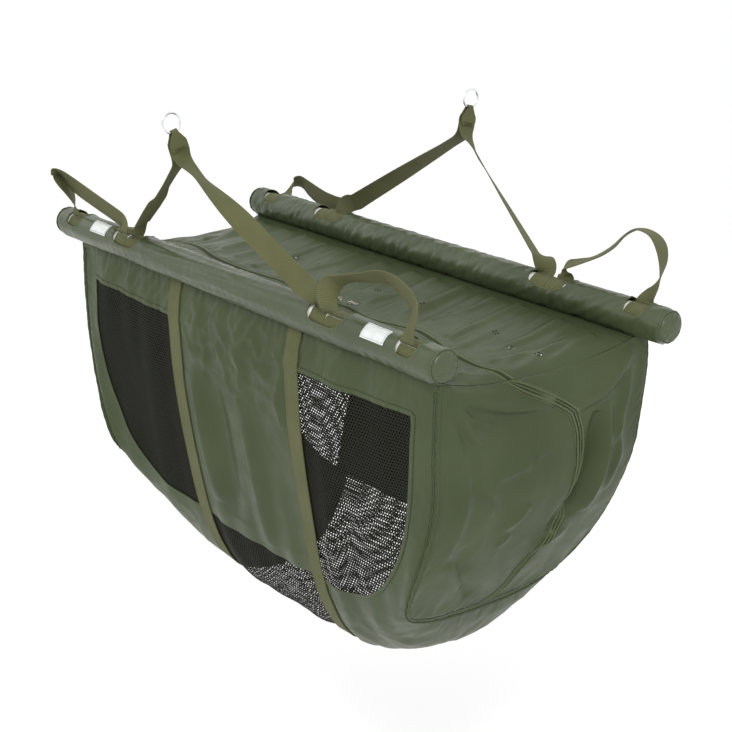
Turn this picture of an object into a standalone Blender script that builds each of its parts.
"""Floating weigh sling: a deep cloth and mesh sack hung between two foam-filled bars, with webbing
bridles, hand loops, a zipped cover and lifting rings. Metres, +Z up. +X runs along the bars and -Y is
the front. The origin is the lift point, midway between the two rings at their height."""

import math

import bmesh
import bpy
import numpy as np
from mathutils import Matrix, Vector

# Bars and their sleeves
BAR_LENGTH = 1.20
BAR_SPACING = 0.444
BAR_SHIFT = 0.030
LIFT_HEIGHT = 0.300
FOAM_RADIUS = 0.023
CAP_THICKNESS = 0.002
CAP_DOME = 0.003
ROUND_STEPS = 24
# The end disc's domed face from its middle out, as shares of the sleeve's radius, cap and dome
CAP_PROFILE_SHARES = (
    (0.0, 1.0, 1.0),
    (0.62, 1.0, 0.85),
    (0.92, 1.0, 0.3),
    (1.0, 0.5, 0.0),
)

# Cloth, net and webbing
CLOTH = 0.0015
NET_THICKNESS = 0.0014
NET_CORD = 0.007
WEBBING_WIDTH = 0.038
WEBBING = 0.0018
GAP = 0.0003
BAND_CLEARANCE = 0.0006
STRAP_CLEARANCE = 0.0009
SEAM_GAP = 0.0006

# Bag
MID_DEPTH = 0.650
END_DEPTH = 0.465
END_INSET = 0.040
BASE_INSET = 0.095
END_BULGE = 0.022
END_RISE_POWER = 4.4
HEADER_HEIGHT = 0.072
PANEL_LENGTH = 0.424
STRAP_PLACE = 0.190
WINDOW_INSET = 0.055
COVER_SAG = 0.012

# Half sections of the sack from the rim to the lowest line, as shares of half width and depth
MID_HALF_SHARES = (
    (1.00, 0.00),
    (1.045, 0.10),
    (1.03, 0.24),
    (0.975, 0.39),
    (0.88, 0.57),
    (0.77, 0.74),
    (0.63, 0.87),
    (0.42, 0.965),
    (0.0, 1.0),
)
END_FRONT_SHARES = (
    (1.00, 0.00),
    (1.00, 0.22),
    (0.98, 0.45),
    (0.98, 0.65),
    (0.98, 0.82),
    (0.90, 0.94),
    (0.62, 0.99),
    (0.30, 1.0),
    (0.0, 1.0),
)
END_BACK_SHARES = (
    (1.08, 0.00),
    (1.11, 0.12),
    (1.06, 0.36),
    (0.98, 0.60),
    (0.88, 0.78),
    (0.70, 0.92),
    (0.50, 0.98),
    (0.25, 1.0),
    (0.0, 1.0),
)
# How far down the end panels stay upright before they lean in, and how they lean
END_LEAN_SHARES = (0.40, 1.5)
WINDOW_CORNER_POWER = 3.0

# Zip
ZIP_PLACE = -0.070
ZIP_TAPE = 0.012
COVER_HINGE_PLACE = 0.190
# The zip's line down an end panel, as shares of half width and of end depth
END_ZIP_SHARES = (
    (-0.32, 0.0),
    (0.12, 0.12),
    (0.29, 0.25),
    (0.335, 0.44),
    (0.32, 0.62),
    (0.19, 0.76),
    (0.09, 0.88),
    (0.04, 1.0),
)
SLIDER_LENGTH = 0.014
SLIDER_WIDTH = 0.011
SLIDER_HEIGHT = 0.003
SLIDER_PLACE = 0.123
SLIDER_PITCH = 0.030
LUG_THICKNESS = 0.001
LUG_LENGTH = 0.004
LUG_HEIGHT = 0.003
TAB_LENGTH = 0.024
TAB_WIDTH = 0.007
TAB_THICKNESS = 0.0014

# Bridles, hand loops and rings
FOOT_PITCH = 0.045
BRIDLE_HEIGHT = 0.262
BRIDLE_TIP = 0.026
BRIDLE_FOOT_BEND = 0.030
# How much of the foot bend lies along the leg, and how much of the tip is bent
FOOT_BEND_SHARE = 1.6
TIP_BEND_SHARE = 0.6
FRONT_APEX_SHIFT = -0.020
BACK_APEX_SHIFT = 0.030
FRONT_LEAN_DEG = 18.0
BACK_LEAN_DEG = 10.0
TIP_HALF_GAP = 0.0007
LOOP_WIDTH = 0.036
LOOP_NECK = 0.012
LOOP_RISE = 0.0265
LOOP_LAP = 0.008
LOOP_BEND_STEPS = 8
# The ring loop's tails from their foot up, as shares of their height and of the loop's width
LOOP_LEAF_SHARES = (
    (0.0, 0.75),
    (0.25, 1.0),
    (0.5, 0.95),
    (0.75, 0.65),
)
RING_RADIUS = 0.0175
RING_WIRE = 0.0022
HANDLE_INSET = 0.070
HANDLE_SPREAD = 0.185
HANDLE_HEIGHT = 0.125
LEG_START = 0.031
CUT_MARGIN = 0.006
CUT_CORNER = 0.014
CUT_ANGLE_DEG = 65.0

# Label patches
LABEL_LENGTH = 0.060
LABEL_SHIFT = 0.015
LABEL_STEPS_FROM = 3
LABEL_STEPS_TO = 7
LABEL = 0.0006

# How far each hand loop leans from upright, turned about +X
FRONT_LEFT_HANDLE_LEAN_DEG = 27.0
FRONT_RIGHT_HANDLE_LEAN_DEG = 35.0
BACK_LEFT_HANDLE_LEAN_DEG = -50.0
BACK_RIGHT_HANDLE_LEAN_DEG = -18.0

# Each hand loop from its inner foot to its outer one, before it leans: a share of the feet's spread
# outward, shares of the rise upward and toward the front, and the way the webbing's width points
FRONT_LEFT_LOOP_SHARES = (
    (0.0, 0.0, 0.0, 1.0, 0.0, 0.0),
    (0.01, 0.08, -0.08, 0.8, -0.3, -0.5),
    (0.08, 0.14, -0.16, 0.3, -0.2, -0.9),
    (0.35, 0.23, -0.21, 0.2, -0.2, -1.0),
    (0.65, 0.38, -0.23, 0.3, -0.2, -0.9),
    (0.94, 0.58, -0.23, 0.4, -0.2, -0.9),
    (1.12, 0.77, -0.22, 0.4, 0.0, -0.9),
    (1.21, 0.85, -0.21, 0.5, 0.4, -0.8),
    (1.21, 0.78, -0.17, 0.5, 0.6, -0.5),
    (1.14, 0.64, -0.15, 0.5, 0.8, -0.4),
    (1.07, 0.45, -0.13, 0.6, 0.7, -0.4),
    (1.02, 0.24, -0.08, 0.8, 0.5, -0.2),
    (1.0, 0.0, 0.0, 1.0, 0.0, 0.0),
)
FRONT_RIGHT_LOOP_SHARES = (
    (0.0, 0.0, 0.0, 1.0, 0.0, 0.0),
    (-0.02, 0.16, -0.01, 0.9, 0.3, 0.0),
    (-0.04, 0.34, -0.13, 0.9, 0.4, -0.3),
    (-0.01, 0.47, -0.3, 0.4, 0.4, -0.7),
    (0.12, 0.53, -0.42, 0.1, 0.5, -0.8),
    (0.38, 0.6, -0.53, 0.1, 0.4, -0.9),
    (0.57, 0.65, -0.61, -0.1, 0.2, -1.0),
    (0.77, 0.64, -0.58, -0.2, -0.1, -0.9),
    (0.92, 0.55, -0.51, -0.5, -0.1, -0.7),
    (1.0, 0.44, -0.43, -0.8, 0.0, -0.6),
    (1.02, 0.32, -0.33, -0.9, 0.3, -0.4),
    (1.01, 0.18, -0.18, -0.9, 0.3, -0.2),
    (1.0, 0.0, 0.0, -1.0, 0.0, 0.0),
)
BACK_LEFT_LOOP_SHARES = (
    (0.0, 0.0, 0.0, 1.0, 0.0, 0.0),
    (0.01, 0.1, -0.02, 0.9, 0.4, -0.1),
    (0.09, 0.2, -0.08, 0.4, 0.8, -0.3),
    (0.36, 0.24, -0.12, 0.0, 0.8, -0.6),
    (0.58, 0.32, -0.13, 0.0, 0.8, -0.6),
    (0.84, 0.45, -0.15, 0.0, 0.9, -0.5),
    (1.02, 0.54, -0.15, 0.3, 0.9, -0.2),
    (1.11, 0.48, -0.12, 0.6, 0.8, 0.0),
    (1.11, 0.33, -0.08, 0.8, 0.6, 0.0),
    (1.05, 0.16, -0.03, 0.9, 0.3, 0.0),
    (1.0, 0.0, 0.0, 1.0, 0.0, 0.0),
)
BACK_RIGHT_LOOP_SHARES = (
    (0.0, 0.0, 0.0, 1.0, 0.0, 0.0),
    (-0.01, 0.12, 0.03, 0.8, -0.6, -0.1),
    (0.01, 0.21, 0.08, 0.5, -0.8, -0.4),
    (0.09, 0.28, 0.1, 0.3, -0.8, -0.5),
    (0.24, 0.42, 0.06, 0.3, -0.9, -0.4),
    (0.41, 0.65, 0.04, 0.3, -0.8, -0.5),
    (0.56, 0.89, 0.11, 0.3, -0.7, -0.6),
    (0.67, 1.07, 0.17, 0.2, -0.8, -0.5),
    (0.82, 1.19, 0.22, 0.0, -1.0, -0.2),
    (0.99, 1.14, 0.22, 0.1, -1.0, -0.1),
    (1.09, 0.95, 0.18, 0.2, -1.0, -0.2),
    (1.12, 0.66, 0.08, 0.4, -0.9, -0.2),
    (1.08, 0.33, -0.02, 0.7, -0.6, -0.1),
    (1.0, 0.0, 0.0, 1.0, 0.0, 0.0),
)

# Sizes and places that follow
HALF_SPACING = BAR_SPACING / 2
END_TOP_PLACE = BAR_LENGTH / 2 - END_INSET
END_BASE_PLACE = END_TOP_PLACE - BASE_INSET
WINDOW_PLACE = END_TOP_PLACE - WINDOW_INSET
HANDLE_OUTER_PLACE = BAR_LENGTH / 2 - HANDLE_INSET
HANDLE_INNER_PLACE = HANDLE_OUTER_PLACE - HANDLE_SPREAD
BRIDLE_PLACE = HANDLE_INNER_PLACE - FOOT_PITCH
LABEL_PLACE = (HANDLE_INNER_PLACE + HANDLE_OUTER_PLACE) / 2
SLEEVE_BORE = FOAM_RADIUS + GAP + WEBBING + BAND_CLEARANCE
SLEEVE_RADIUS = SLEEVE_BORE + CLOTH
BAND_RADIUS = FOAM_RADIUS + GAP + WEBBING / 2
RIM_DROP = SLEEVE_RADIUS + GAP + CLOTH / 2
STRAP_LIFT = max(CLOTH, NET_THICKNESS) / 2 + STRAP_CLEARANCE + WEBBING / 2
END_LIFT = CLOTH / 2 + GAP
STEP_ANGLE = math.tau / ROUND_STEPS
CUT_OVERRUN = SLEEVE_RADIUS

# Mesh counts
WINDOW_CELLS = 6
BAND_COLUMNS = 4
BASE_CELLS = 3
COVER_ROWS = 6
COVER_COLUMNS = 14
FOOT_STEPS = 4
LEG_STEPS = 6
TWIST_STEPS = 7
TURN_STEPS = 6
HANDLE_STEPS = 2
RING_STEPS = 28
WIRE_STEPS = 8
LINE_STEPS = 24
SHARP_ANGLE_DEG = 40
# Steps for reading a direction off a surface or a line, as shares of its length
REACH_SHARE = 0.002
LOOK_SHARE = 0.01

for old in list(bpy.data.objects):
    bpy.data.objects.remove(old, do_unlink=True)

sling = bpy.data.collections.new("weigh_sling")
cutters = bpy.data.collections.new("cutters")
bpy.context.scene.collection.children.link(sling)
bpy.context.scene.collection.children.link(cutters)

bar_level = bpy.data.objects.new("bar_level", None)
bar_level.location.z = -LIFT_HEIGHT
sling.objects.link(bar_level)


def plain_material(name, colour, roughness, metallic=0.0):
    material = bpy.data.materials.new(name)
    material.use_nodes = True
    shader = material.node_tree.nodes["Principled BSDF"]
    shader.inputs["Base Color"].default_value = (*colour, 1)
    shader.inputs["Roughness"].default_value = roughness
    shader.inputs["Metallic"].default_value = metallic
    material.diffuse_color = (*colour, 1)
    return material


NYLON = plain_material("olive_nylon", (0.085, 0.105, 0.062), 0.45)
NET = plain_material("dark_net", (0.022, 0.026, 0.016), 0.8)
WEB = plain_material("khaki_webbing", (0.155, 0.165, 0.085), 0.75)
FOAM = plain_material("white_foam", (0.82, 0.82, 0.80), 0.7)
CHROME = plain_material("chrome_wire", (0.85, 0.85, 0.86), 0.12, 1.0)
ZIP = plain_material("dark_zip", (0.03, 0.035, 0.025), 0.5)
DARK_METAL = plain_material("slider_metal", (0.25, 0.25, 0.23), 0.35, 1.0)
LABEL_WHITE = plain_material("label_white", (0.78, 0.78, 0.76), 0.6)


def add_object(name, mesh, material, parent=bar_level):
    """Links a named sub-part into the sling, shaded smooth up to sharp edges."""
    part = bpy.data.objects.new(name, mesh)
    mesh.materials.append(material)
    mesh.shade_smooth()
    mesh.set_sharp_from_angle(angle=math.radians(SHARP_ANGLE_DEG))
    part.parent = parent
    sling.objects.link(part)
    return part


def finish_mesh(name, bm):
    mesh = bpy.data.meshes.new(name)
    bm.to_mesh(mesh)
    bm.free()
    return mesh


def solidify(part, thickness, offset=0.0):
    shell = part.modifiers.new("thickness", "SOLIDIFY")
    shell.thickness = thickness
    shell.offset = offset
    shell.use_even_offset = True


def cloth(name, rows, material, thickness=CLOTH, parent=bar_level, seam=SEAM_GAP, cord=0.0):
    """A sheet through rows of points, drawn in by half a seam gap all round. With a cord width each
    cell keeps only its rim, as a net does."""
    high = len(rows) - 1
    wide = len(rows[0]) - 1
    points = [[Vector(p) for p in row] for row in rows]
    drawn = [[p.copy() for p in row] for row in points]
    for j in range(high + 1):
        for i, k in ((0, 1), (wide, wide - 1)):
            drawn[j][i] += (points[j][k] - points[j][i]).normalized() * seam / 2
    for i in range(wide + 1):
        for j, k in ((0, 1), (high, high - 1)):
            drawn[j][i] += (points[k][i] - points[j][i]).normalized() * seam / 2
    bm = bmesh.new()
    bmesh.ops.create_grid(bm, x_segments=wide, y_segments=high, size=1)
    for vert in bm.verts:
        i = round((vert.co.x + 1) / 2 * wide)
        j = round((vert.co.y + 1) / 2 * high)
        vert.co = drawn[j][i]
    if cord:
        bm.normal_update()
        cells = list(bm.faces)
        bmesh.ops.inset_individual(bm, faces=cells, thickness=cord / 2, use_even_offset=True)
        bmesh.ops.delete(bm, geom=cells, context="FACES")
    part = add_object(name, finish_mesh(name, bm), material, parent)
    solidify(part, thickness)
    return part


def smooth_line(corners, steps=LINE_STEPS):
    """Dense points on a Catmull-Rom curve through the corners."""
    knots = np.array(corners, float)
    ends = (2 * knots[0] - knots[1], 2 * knots[-1] - knots[-2])
    knots = np.vstack([ends[0], knots, ends[1]])
    line = []
    for k in range(1, len(knots) - 2):
        a, b, c, d = knots[k - 1 : k + 3]
        square = a - 2.5 * b + 2 * c - d / 2
        cube = 1.5 * (b - c) + (d - a) / 2
        for t in np.linspace(0, 1, steps, endpoint=False):
            line.append(b + (c - a) * t / 2 + square * t**2 + cube * t**3)
    line.append(knots[-2])
    return np.array(line)


def along(line, share):
    """The point at a share of the line's length."""
    steps = np.linalg.norm(np.diff(line, axis=0), axis=1)
    length = np.concatenate([[0], np.cumsum(steps)])
    return np.array([np.interp(share * length[-1], length, line[:, k]) for k in range(line.shape[1])])


def line_length(line):
    return float(np.linalg.norm(np.diff(line, axis=0), axis=1).sum())


def section(front_shares, back_shares, depth):
    """The sack's outline across the bars, from the front rim under the base to the back rim."""
    corners = [(-y * HALF_SPACING, -z * depth) for y, z in front_shares]
    corners += [(y * HALF_SPACING, -z * depth) for y, z in back_shares[-2::-1]]
    return smooth_line(corners)


MID_LINE = section(MID_HALF_SHARES, MID_HALF_SHARES, MID_DEPTH)
END_LINE = section(END_FRONT_SHARES, END_BACK_SHARES, END_DEPTH)
GIRTH = line_length(MID_LINE)
END_GIRTH = line_length(END_LINE)
HEADER_SHARE = HEADER_HEIGHT / GIRTH
PANEL_SHARE = (HEADER_HEIGHT + PANEL_LENGTH) / GIRTH
ZIP_FOOT_SHARE = ZIP_TAPE / END_GIRTH


def end_place(fall):
    """How far out the end seam lies, at a fall below the rim."""
    upright, power = END_LEAN_SHARES
    share = min(max((fall / END_DEPTH - upright) / (1 - upright), 0), 1)
    return END_TOP_PLACE - (END_TOP_PLACE - END_BASE_PLACE) * share**power


def seam_place(v):
    return end_place(-along(END_LINE, v)[1])


def side(x, v):
    """A point of the sack's side and base at a place along the bars and a share of the girth."""
    mid = along(MID_LINE, v)
    end = along(END_LINE, v)
    weight = abs(x / end_place(-end[1])) ** END_RISE_POWER
    y, z = mid * (1 - weight) + end * weight
    return Vector((x, y, z - RIM_DROP))


def outward(x, v, reach=REACH_SHARE):
    """The outward normal of the sack there."""
    low = max(v - reach, 0)
    high = min(v + reach, 1)
    along_girth = side(x, high) - side(x, low)
    along_bar = side(x + reach * END_TOP_PLACE, v) - side(x - reach * END_TOP_PLACE, v)
    return along_girth.cross(along_bar).normalized()


def steps_between(start, end, count):
    return [start + (end - start) * k / count for k in range(count + 1)]


def coons(left, right, top, bottom):
    """Rows of points inside four edge lines that share their corners."""
    high = len(left) - 1
    wide = len(top) - 1
    corners = (np.array(top[0]), np.array(top[-1]), np.array(bottom[0]), np.array(bottom[-1]))
    rows = []
    for j in range(high + 1):
        b = j / high
        row = []
        for i in range(wide + 1):
            a = i / wide
            across = (1 - a) * np.array(left[j]) + a * np.array(right[j])
            down = (1 - b) * np.array(top[i]) + b * np.array(bottom[i])
            upper = (1 - a) * corners[0] + a * corners[1]
            lower = (1 - a) * corners[2] + a * corners[3]
            row.append(across + down - (1 - b) * upper - b * lower)
        rows.append(row)
    return rows


# Places along the girth that neighbouring panels share
side_shares = steps_between(HEADER_SHARE, PANEL_SHARE, WINDOW_CELLS)
seam_shares = steps_between(HEADER_SHARE, PANEL_SHARE, 2 * WINDOW_CELLS)
zip_foot = 0.5 - ZIP_FOOT_SHARE
base_shares = steps_between(PANEL_SHARE, zip_foot, BASE_CELLS)
base_shares += [1 - v for v in base_shares[::-1]]


def window_edge(angle):
    """The window's rounded lower edge, as a place along the bar and a share of the girth."""
    power = 2 / WINDOW_CORNER_POWER
    out = max(math.cos(angle), 0) ** power
    down = math.sin(angle) ** power
    x = STRAP_PLACE + (WINDOW_PLACE - STRAP_PLACE) * out
    v = HEADER_SHARE + (PANEL_SHARE - HEADER_SHARE) * down
    return x, v


edge_line = [window_edge(a) for a in steps_between(0, math.pi / 2, 2 * WINDOW_CELLS)]
header_places = steps_between(-STRAP_PLACE, STRAP_PLACE, WINDOW_CELLS)
window_places = steps_between(STRAP_PLACE, WINDOW_PLACE, WINDOW_CELLS)[1:]


def girth_side(v, back):
    return 1 - v if back else v


def header_rows(back):
    rows = []
    for v in (0, HEADER_SHARE):
        reach = seam_place(girth_side(v, back))
        outer = steps_between(WINDOW_PLACE, reach, BAND_COLUMNS)[1:]
        half = window_places + outer
        places = [-x for x in half[::-1]] + header_places + half
        rows.append([side(x, girth_side(v, back)) for x in places])
    return rows


def window_rows(end, back):
    top = [(STRAP_PLACE, HEADER_SHARE)] + [(x, HEADER_SHARE) for x in window_places]
    left = [(STRAP_PLACE, v) for v in side_shares]
    right = edge_line[: WINDOW_CELLS + 1]
    bottom = edge_line[WINDOW_CELLS:][::-1]
    flat = coons(left, right, top, bottom)
    return [[side(end * x, girth_side(v, back)) for x, v in row] for row in flat]


def band_rows(end):
    """The U-shaped end band, row by row from the front header under the base to the back header."""
    inner = edge_line + [(STRAP_PLACE, v) for v in base_shares[1:-1]]
    inner += [(x, 1 - v) for x, v in edge_line[::-1]]
    outer = seam_shares + base_shares[1:-1] + [1 - v for v in seam_shares[::-1]]
    rows = []
    for (x, v), seam_v in zip(inner, outer):
        reach = seam_place(seam_v)
        shares = steps_between(0, 1, BAND_COLUMNS)
        rows.append([side(end * (x + (reach - x) * t), v + (seam_v - v) * t) for t in shares])
    return rows


def make_sack():
    for back, name in ((False, "front"), (True, "back")):
        cloth(f"{name}_header", header_rows(back), NYLON)
        panel = [[side(x, girth_side(v, back)) for x in header_places] for v in side_shares]
        cloth(f"{name}_centre_panel", panel, NYLON)
        for end, hand in ((-1, "left"), (1, "right")):
            cloth(f"{name}_{hand}_window_net", window_rows(end, back), NET, NET_THICKNESS, cord=NET_CORD)
    base = [[side(x, v) for x in header_places] for v in base_shares]
    cloth("base_net", base, NET, NET_THICKNESS, cord=NET_CORD)
    girth_shares = [0] + side_shares + base_shares[1:-1] + [1 - v for v in side_shares[::-1]] + [1]
    for end, hand in ((-1, "left"), (1, "right")):
        cloth(f"{hand}_end_band", band_rows(end), NYLON)
        across = [end * STRAP_PLACE + a * WEBBING_WIDTH / 2 for a in (-1, 0, 1)]
        strap = [[side(x, v) + outward(x, v) * STRAP_LIFT for x in across] for v in girth_shares]
        cloth(f"{hand}_girth_strap", strap, WEB, WEBBING, seam=0)


def end_zip_edge(rear):
    """One edge of the end zip, from the rim to the base, in the end panel's plane."""
    hand = 1 if rear else -1
    line = smooth_line([(y * HALF_SPACING, -z * END_DEPTH) for y, z in END_ZIP_SHARES])
    shares = steps_between(0, 1, 1 + 2 * WINDOW_CELLS)
    edge = [np.array((ZIP_PLACE + hand * ZIP_TAPE, 0.0))]
    for share in shares[1:-1]:
        point = along(line, share)
        ahead = along(line, share + LOOK_SHARE) - along(line, share - LOOK_SHARE)
        across = np.array((-ahead[1], ahead[0])) / np.linalg.norm(ahead)
        edge.append(point + hand * across * ZIP_TAPE)
    edge.append(along(END_LINE, 0.5 + hand * ZIP_FOOT_SHARE))
    return edge


def end_patch(end, rear):
    """The front or rear half of an end panel, between the U-shaped seam and the zip."""
    seam = [along(END_LINE, girth_side(v, rear)) for v in [0] + seam_shares]
    under = [along(END_LINE, girth_side(v, rear)) for v in base_shares[: BASE_CELLS + 1]]
    zip_edge = end_zip_edge(rear)
    top = [seam[0] + (zip_edge[0] - seam[0]) * share for share in steps_between(0, 1, BASE_CELLS)]
    flat = coons(seam, zip_edge, top, under)
    return lift_end(flat, end, lambda a: math.sin(a * math.pi / 2))


def lift_end(flat, end, swell):
    """Puts rows of an end panel at their distance along the bars, swollen a little at the middle."""
    rows = []
    for j, row in enumerate(flat):
        b = j / (len(flat) - 1)
        line = []
        for i, (y, z) in enumerate(row):
            bulge = END_BULGE * math.sin(b * math.pi) * swell(i / (len(row) - 1))
            x = end_place(-z) + bulge + END_LIFT
            line.append(Vector((end * x, y, z - RIM_DROP)))
        rows.append(line)
    return rows


def make_ends():
    for end, hand in ((-1, "left"), (1, "right")):
        cloth(f"{hand}_end_front_half", end_patch(end, False), NYLON)
        cloth(f"{hand}_end_rear_half", end_patch(end, True), NYLON)
        strip = [list(pair) for pair in zip(end_zip_edge(False), end_zip_edge(True))]
        cloth(f"{hand}_end_zip", lift_end(strip, end, lambda a: 1), ZIP)


def flat_rows(y_from, y_to, rows=1, columns=1, sag=0.0):
    result = []
    for b in steps_between(0, 1, rows):
        y = y_from + (y_to - y_from) * b
        line = []
        for a in steps_between(-1, 1, columns):
            z = -RIM_DROP - sag * math.cos(a * math.pi / 2) * math.sin(b * math.pi)
            line.append(Vector((a * END_TOP_PLACE, y, z)))
        result.append(line)
    return result


def make_cover():
    zip_front = ZIP_PLACE - ZIP_TAPE
    zip_rear = ZIP_PLACE + ZIP_TAPE
    rim = HALF_SPACING - CLOTH / 2 - GAP
    cloth("front_top_strip", flat_rows(-rim, zip_front), NYLON)
    cloth("front_zip_tape", flat_rows(zip_front, ZIP_PLACE), ZIP)
    cloth("cover_seam_strip", flat_rows(COVER_HINGE_PLACE, rim), NYLON)
    # The fold lies in the cloth's upper face, so that the cover's edge lifts clear of the seam strip
    fold = Vector((0, COVER_HINGE_PLACE, -RIM_DROP + CLOTH / 2))
    hinge = bpy.data.objects.new("cover_hinge", None)
    hinge.parent = bar_level
    hinge.location = fold
    sling.objects.link(hinge)
    sagged = flat_rows(zip_rear, COVER_HINGE_PLACE, COVER_ROWS, COVER_COLUMNS, COVER_SAG)
    cover = [[p - fold for p in row] for row in sagged]
    tape = [[p - fold for p in row] for row in flat_rows(ZIP_PLACE, zip_rear)]
    cloth("top_cover", cover, NYLON, parent=hinge)
    cloth("cover_zip_tape", tape, ZIP, parent=hinge)


def box(name, size, centre, material, parent, bevel=0.0):
    bm = bmesh.new()
    bmesh.ops.create_cube(bm, size=1, matrix=Matrix.Translation(centre) @ Matrix.Diagonal((*size, 1)))
    part = add_object(name, finish_mesh(name, bm), material, parent)
    if bevel:
        edge = part.modifiers.new("soft_edges", "BEVEL")
        edge.width = bevel
        edge.segments = 2
        edge.limit_method = "ANGLE"
    return part


def boolean(part, tool, operation):
    for collection in list(tool.users_collection):
        collection.objects.unlink(tool)
    cutters.objects.link(tool)
    tool.hide_render = True
    tool.display_type = "WIRE"
    cut = part.modifiers.new(tool.name, "BOOLEAN")
    cut.operation = operation
    cut.object = tool
    cut.solver = "EXACT"


def make_sliders():
    """Two sliders that meet on the zip, each with a tab hinged between two lugs."""
    tape_top = -RIM_DROP + CLOTH / 2 + GAP
    for hand, name in ((-1, "left"), (1, "right")):
        place = SLIDER_PLACE + hand * SLIDER_PITCH / 2
        base = bpy.data.objects.new(f"{name}_slider_place", None)
        base.parent = bar_level
        base.location = (place, ZIP_PLACE, tape_top)
        sling.objects.link(base)
        body_size = (SLIDER_LENGTH, SLIDER_WIDTH, SLIDER_HEIGHT)
        body = box(f"{name}_zip_slider", body_size, (0, 0, SLIDER_HEIGHT / 2), DARK_METAL, base)
        lug_gap = TAB_WIDTH / 2 + GAP + LUG_THICKNESS / 2
        root = LUG_HEIGHT / 2
        for lug_side, lug_name in ((-1, "front"), (1, "rear")):
            lug_size = (LUG_LENGTH, LUG_THICKNESS, LUG_HEIGHT + root)
            centre = (0, lug_side * lug_gap, SLIDER_HEIGHT + (LUG_HEIGHT - root) / 2)
            lug = box(f"{name}_{lug_name}_lug", lug_size, centre, DARK_METAL, base)
            boolean(body, lug, "UNION")
        soft = body.modifiers.new("soft_edges", "BEVEL")
        soft.width = LUG_THICKNESS / 4
        soft.segments = 1
        pivot = SLIDER_HEIGHT + GAP + TAB_THICKNESS / 2
        tab_size = (TAB_LENGTH, TAB_WIDTH, TAB_THICKNESS)
        tab_centre = (hand * (TAB_LENGTH / 2 - TAB_THICKNESS / 2), 0, 0)
        tab = box(f"{name}_pull_tab", tab_size, tab_centre, DARK_METAL, base, TAB_THICKNESS / 3)
        tab.location.z = pivot


def make_bar(name, y, shift):
    """A foam float in its sewn sleeve, with a disc at each end and cut-outs where webbing comes out."""
    bar = bpy.data.objects.new(f"{name}_bar", None)
    bar.parent = bar_level
    bar.location = (shift, y, 0)
    sling.objects.link(bar)
    lie = Matrix.Rotation(math.pi / 2, 4, "Y")
    sleeve_length = BAR_LENGTH - 2 * (CAP_THICKNESS + CAP_DOME + GAP)
    bm = bmesh.new()
    bmesh.ops.create_cone(
        bm,
        cap_ends=True,
        segments=ROUND_STEPS,
        radius1=FOAM_RADIUS,
        radius2=FOAM_RADIUS,
        depth=sleeve_length,
        matrix=lie,
    )
    add_object(f"{name}_float", finish_mesh(f"{name}_float", bm), FOAM, bar)
    bm = bmesh.new()
    bmesh.ops.create_cone(
        bm,
        cap_ends=False,
        segments=ROUND_STEPS,
        radius1=SLEEVE_RADIUS,
        radius2=SLEEVE_RADIUS,
        depth=sleeve_length,
        matrix=lie,
    )
    sleeve = add_object(f"{name}_sleeve", finish_mesh(f"{name}_sleeve", bm), NYLON, bar)
    solidify(sleeve, CLOTH, -1.0)
    pair_from = BRIDLE_PLACE - WEBBING_WIDTH / 2 - CUT_MARGIN
    pair_to = HANDLE_INNER_PLACE + WEBBING_WIDTH / 2 + CUT_MARGIN
    outer_from = HANDLE_OUTER_PLACE - WEBBING_WIDTH / 2 - CUT_MARGIN
    outer_to = HANDLE_OUTER_PLACE + WEBBING_WIDTH / 2 + CUT_MARGIN
    for end, hand in ((-1, "left"), (1, "right")):
        for start, stop, which in ((pair_from, pair_to, "pair"), (outer_from, outer_to, "outer")):
            tool = cut_tool(f"{name}_{hand}_{which}_cut", end * (start + stop) / 2, stop - start, bar)
            boolean(sleeve, tool, "DIFFERENCE")
        end_disc(f"{name}_{hand}_end_disc", end, sleeve_length / 2 + GAP, bar)
    return bar


def cut_tool(name, x, length, bar):
    """A block with rounded corners that opens the top of the sleeve."""
    low = SLEEVE_RADIUS * math.cos(math.radians(CUT_ANGLE_DEG))
    width = 2 * SLEEVE_RADIUS * math.sin(math.radians(CUT_ANGLE_DEG))
    height = SLEEVE_RADIUS - low + CUT_OVERRUN
    bm = bmesh.new()
    place = Matrix.Translation((x, 0, low + height / 2))
    bmesh.ops.create_cube(bm, size=1, matrix=place @ Matrix.Diagonal((length, width, height, 1)))
    upright = [e for e in bm.edges if abs(e.verts[0].co.z - e.verts[1].co.z) > height / 2]
    bmesh.ops.bevel(bm, geom=upright, offset=CUT_CORNER, segments=4, profile=0.5, affect="EDGES")
    return add_object(name, finish_mesh(name, bm), NYLON, bar)


def end_disc(name, end, place, bar):
    """The round cloth disc that closes a sleeve, turned from its half profile."""
    profile = [(SLEEVE_RADIUS * r, CAP_THICKNESS * c + CAP_DOME * d) for r, c, d in CAP_PROFILE_SHARES]
    profile += [(SLEEVE_RADIUS, 0), (0, 0)]
    bm = bmesh.new()
    verts = [bm.verts.new((r, 0, z)) for r, z in profile]
    for a, b in zip(verts, verts[1:]):
        bm.edges.new((a, b))
    disc = add_object(name, finish_mesh(name, bm), NYLON, bar)
    turn = disc.modifiers.new("turned", "SCREW")
    turn.steps = ROUND_STEPS
    turn.render_steps = ROUND_STEPS
    turn.use_merge_vertices = True
    turn.merge_threshold = 0.00001
    disc.location = (end * place, 0, 0)
    disc.rotation_euler = (0, end * math.pi / 2, 0)


def ribbon(name, stations, width, material, parent):
    """Webbing along stations of (point, width direction), where a shorter direction is gathered webbing."""
    rows = [[p - across * width / 2, p + across * width / 2] for p, across in stations]
    return cloth(name, rows, material, WEBBING, parent, seam=0)


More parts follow.
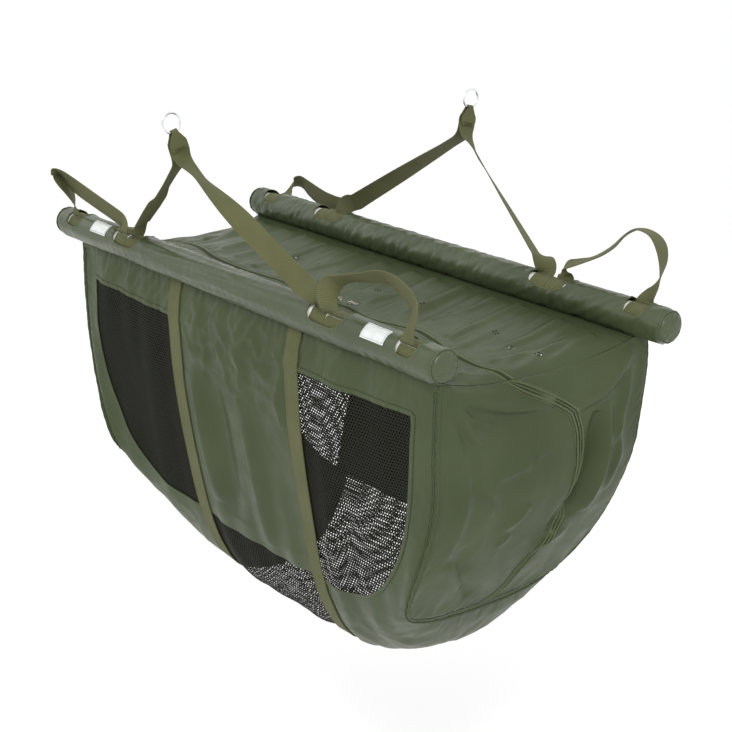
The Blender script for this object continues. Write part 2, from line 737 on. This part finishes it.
def twisted(points, twists):
    """Width directions that lie in the webbing's own plane at twist 0 and along Y at 90 degrees."""
    normal = Vector((0, 1, 0))
    stations = []
    for k, point in enumerate(points):
        tangent = (points[min(k + 1, len(points) - 1)] - points[max(k - 1, 0)]).normalized()
        flat = normal.cross(tangent).normalized()
        angle = math.radians(twists[k])
        stations.append((point, flat * math.cos(angle) + normal * math.sin(angle)))
    return stations


def bezier(start, middle, end, count):
    points = []
    for t in steps_between(0, 1, count):
        points.append(start * (1 - t) ** 2 + middle * 2 * t * (1 - t) + end * t**2)
    return points


def flat_point(x, h):
    return Vector((x, 0, h))


def foot_circle(x):
    """The webbing round the foam, starting and ending at the top, less one step for the sewn end."""
    stations = []
    for k in range(1, ROUND_STEPS + 1):
        angle = math.pi / 2 + STEP_ANGLE * k
        point = Vector((x, BAND_RADIUS * math.cos(angle), BAND_RADIUS * math.sin(angle)))
        stations.append((point, Vector((1, 0, 0))))
    return stations


def leg_half(foot, apex):
    """One leg of a bridle, from the foam up to the turned-over tip."""
    hand = math.copysign(1, foot - apex)
    low = flat_point(foot, LEG_START)
    tip_foot = flat_point(apex + hand * (TIP_HALF_GAP + WEBBING / 2), BRIDLE_HEIGHT - BRIDLE_TIP)
    direction = (tip_foot - low).normalized()
    bend = low + direction * BRIDLE_FOOT_BEND * FOOT_BEND_SHARE
    foot_curve = bezier(low, flat_point(foot, LEG_START + BRIDLE_FOOT_BEND / 2), bend, FOOT_STEPS)
    reach = BRIDLE_TIP * TIP_BEND_SHARE
    before_tip = tip_foot - direction * reach
    tip_curve = bezier(before_tip, tip_foot, tip_foot + Vector((0, 0, reach)), FOOT_STEPS - 1)
    straight = [bend + (before_tip - bend) * share for share in steps_between(0, 1, LEG_STEPS)[1:-1]]
    upright = [flat_point(foot, BAND_RADIUS + WEBBING), flat_point(foot, BAND_RADIUS + 2 * WEBBING)]
    points = upright + foot_curve + straight + tip_curve
    flat_from = len(upright) + FOOT_STEPS - 1
    twists = [90 * min(max(k - flat_from, 0) / TWIST_STEPS, 1) for k in range(len(points))]
    return twisted(points, twists)


def tip_turn(apex):
    """The short fold where the webbing turns over under the ring loop."""
    radius = TIP_HALF_GAP + WEBBING / 2
    stations = []
    for angle in steps_between(0, math.pi, TURN_STEPS):
        point = flat_point(apex - radius * math.cos(angle), BRIDLE_HEIGHT - radius + radius * math.sin(angle))
        stations.append((point, Vector((0, 1, 0))))
    return stations


def same_way(stations):
    """Turns width directions over where they would flip, so that the webbing has one face."""
    fixed = [stations[0]]
    for point, across in stations[1:]:
        if across.dot(fixed[-1][1]) < 0:
            across = -across
        fixed.append((point, across))
    return fixed


def ring_loop_stations(apex, wire_level):
    """The doubled webbing over the ring: its tails lap the bridle's tip, and it is gathered in the ring."""
    tail_place = TIP_HALF_GAP + WEBBING + GAP + WEBBING / 2
    neck_rise = RING_RADIUS - math.sqrt(RING_RADIUS**2 - (LOOP_NECK / 2) ** 2)
    bend_radius = RING_WIRE + neck_rise + GAP + WEBBING / 2
    foot = BRIDLE_HEIGHT - LOOP_LAP
    tail = []
    for rise_share, width_share in LOOP_LEAF_SHARES:
        point = flat_point(-tail_place, foot + (wire_level - foot) * rise_share)
        tail.append((point, Vector((0, width_share, 0))))
    bend = []
    for angle in steps_between(math.pi, 0, LOOP_BEND_STEPS):
        point = flat_point(bend_radius * math.cos(angle), wire_level + bend_radius * math.sin(angle))
        bend.append((point, Vector((0, LOOP_NECK / LOOP_WIDTH, 0))))
    other = [(Vector((-p.x, 0, p.z)), across) for p, across in tail[::-1]]
    shift = Vector((apex, 0, 0))
    return [(p + shift, across) for p, across in tail + bend + other]


def make_bridle(name, bar, apex_shift, lean_deg):
    """The V of webbing with its ring loop and ring, leaning out about the bar's axis."""
    swing = bpy.data.objects.new(f"{name}_bridle_swing", None)
    swing.parent = bar
    swing.rotation_euler.x = math.radians(lean_deg)
    sling.objects.link(swing)
    left = foot_circle(-BRIDLE_PLACE) + leg_half(-BRIDLE_PLACE, apex_shift)
    right = foot_circle(BRIDLE_PLACE) + leg_half(BRIDLE_PLACE, apex_shift)
    ribbon(f"{name}_bridle", same_way(left + tip_turn(apex_shift) + right[::-1]), WEBBING_WIDTH, WEB, swing)
    wire_level = BRIDLE_HEIGHT + LOOP_RISE
    ribbon(f"{name}_ring_loop", ring_loop_stations(apex_shift, wire_level), LOOP_WIDTH, WEB, swing)
    bpy.ops.mesh.primitive_torus_add(
        major_segments=RING_STEPS,
        minor_segments=WIRE_STEPS,
        major_radius=RING_RADIUS,
        minor_radius=RING_WIRE,
    )
    ring = bpy.context.object
    ring.name = f"{name}_ring"
    ring.data.transform(Matrix.Translation((0, 0, RING_RADIUS)) @ Matrix.Rotation(math.pi / 2, 4, "Y"))
    ring.data.materials.append(CHROME)
    ring.data.shade_smooth()
    for collection in list(ring.users_collection):
        collection.objects.unlink(ring)
    sling.objects.link(ring)
    ring.parent = swing
    ring.location = (apex_shift, 0, wire_level)


def make_handle(name, bar, end, lean_deg, loop_shares):
    """A hand loop with both feet round the foam, its webbing turned and curled as it hangs."""
    rise = HANDLE_HEIGHT - LEG_START
    line = smooth_line(loop_shares, HANDLE_STEPS)
    points = []
    for outward, upward, forward in line[:, :3]:
        place = end * (HANDLE_INNER_PLACE + HANDLE_SPREAD * outward)
        points.append(Vector((place, -rise * forward, LEG_START + rise * upward)))
    stations = []
    for k, point in enumerate(points):
        tangent = (points[min(k + 1, len(points) - 1)] - points[max(k - 1, 0)]).normalized()
        across = Vector((end * line[k, 3], line[k, 4], line[k, 5]))
        stations.append((point, (across - tangent * across.dot(tangent)).normalized()))
    stations[0] = (points[0], Vector((1, 0, 0)))
    stations[-1] = (points[-1], Vector((1, 0, 0)))
    start = foot_circle(end * HANDLE_INNER_PLACE)
    finish = foot_circle(end * HANDLE_OUTER_PLACE)[::-1]
    handle = ribbon(name, same_way(start + stations + finish), WEBBING_WIDTH, WEB, bar)
    handle.rotation_euler.x = math.radians(lean_deg)


def make_label(name, bar, end):
    """A reflective patch sewn on the upper front of the sleeve."""
    radius = SLEEVE_RADIUS + GAP + LABEL / 2
    rows = []
    for step in range(LABEL_STEPS_FROM, LABEL_STEPS_TO + 1):
        angle = math.pi - STEP_ANGLE * (step - 1)
        row = []
        for a in (-1, 1):
            x = end * LABEL_PLACE + LABEL_SHIFT + a * LABEL_LENGTH / 2
            row.append(Vector((x, radius * math.cos(angle), radius * math.sin(angle))))
        rows.append(row)
    cloth(name, rows, LABEL_WHITE, LABEL, bar, seam=0)


make_sack()
make_ends()
make_cover()
make_sliders()
front_bar = make_bar("front", -HALF_SPACING, -BAR_SHIFT)
back_bar = make_bar("back", HALF_SPACING, BAR_SHIFT)
make_bridle("front", front_bar, FRONT_APEX_SHIFT, FRONT_LEAN_DEG)
make_bridle("back", back_bar, BACK_APEX_SHIFT, -BACK_LEAN_DEG)
make_handle("front_left_handle", front_bar, -1, FRONT_LEFT_HANDLE_LEAN_DEG, FRONT_LEFT_LOOP_SHARES)
make_handle("front_right_handle", front_bar, 1, FRONT_RIGHT_HANDLE_LEAN_DEG, FRONT_RIGHT_LOOP_SHARES)
make_handle("back_left_handle", back_bar, -1, BACK_LEFT_HANDLE_LEAN_DEG, BACK_LEFT_LOOP_SHARES)
make_handle("back_right_handle", back_bar, 1, BACK_RIGHT_HANDLE_LEAN_DEG, BACK_RIGHT_LOOP_SHARES)
make_label("left_label_patch", front_bar, -1)
make_label("right_label_patch", front_bar, 1)
